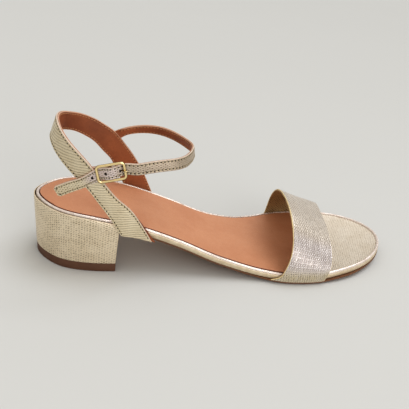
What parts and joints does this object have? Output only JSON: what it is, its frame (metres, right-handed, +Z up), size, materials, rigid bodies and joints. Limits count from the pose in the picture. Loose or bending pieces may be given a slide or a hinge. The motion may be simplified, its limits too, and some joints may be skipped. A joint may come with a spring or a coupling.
{
  "type": "block heel sandal",
  "caption": "Women's low block heel sandal for the right foot, with a wide embossed toe strap, a looped quarter strap and a buckled ankle strap.",
  "frame": {"origin": "on the floor, at the middle of the flat foot of the heel as seen along the shoe's centre line", "axes": "+X from heel to toe, +Y to the inner side of the foot, +Z up from the floor"},
  "size_m": [0.2415, 0.0882, 0.09],
  "materials": {
    "heel_cover": "pale gold metallic leather embossed with offset rows of small dashes",
    "top_piece": "matt brown",
    "outsole": "satin tan",
    "footbed_wrap": "pale gold metallic leather, smooth and bright on the rim, embossed ahead of the sock",
    "sock": "smooth caramel leather",
    "vamp_strap": "pale gold metallic leather embossed with fine bright dashes",
    "ankle_straps": "pale gold embossed leather outside, cognac leather lining, stitched edges",
    "buckle": "polished pale gold"
  },
  "bodies": {
    "root": {"heel_block": "heel_cover", "heel_top_piece": "top_piece", "outsole": "outsole", "footbed": "footbed_wrap", "sock": "sock", "vamp_strap": "vamp_strap", "ankle_straps": "ankle_straps", "buckle_frame": "buckle", "buckle_prong": "buckle"}
  },
  "joints": []
}
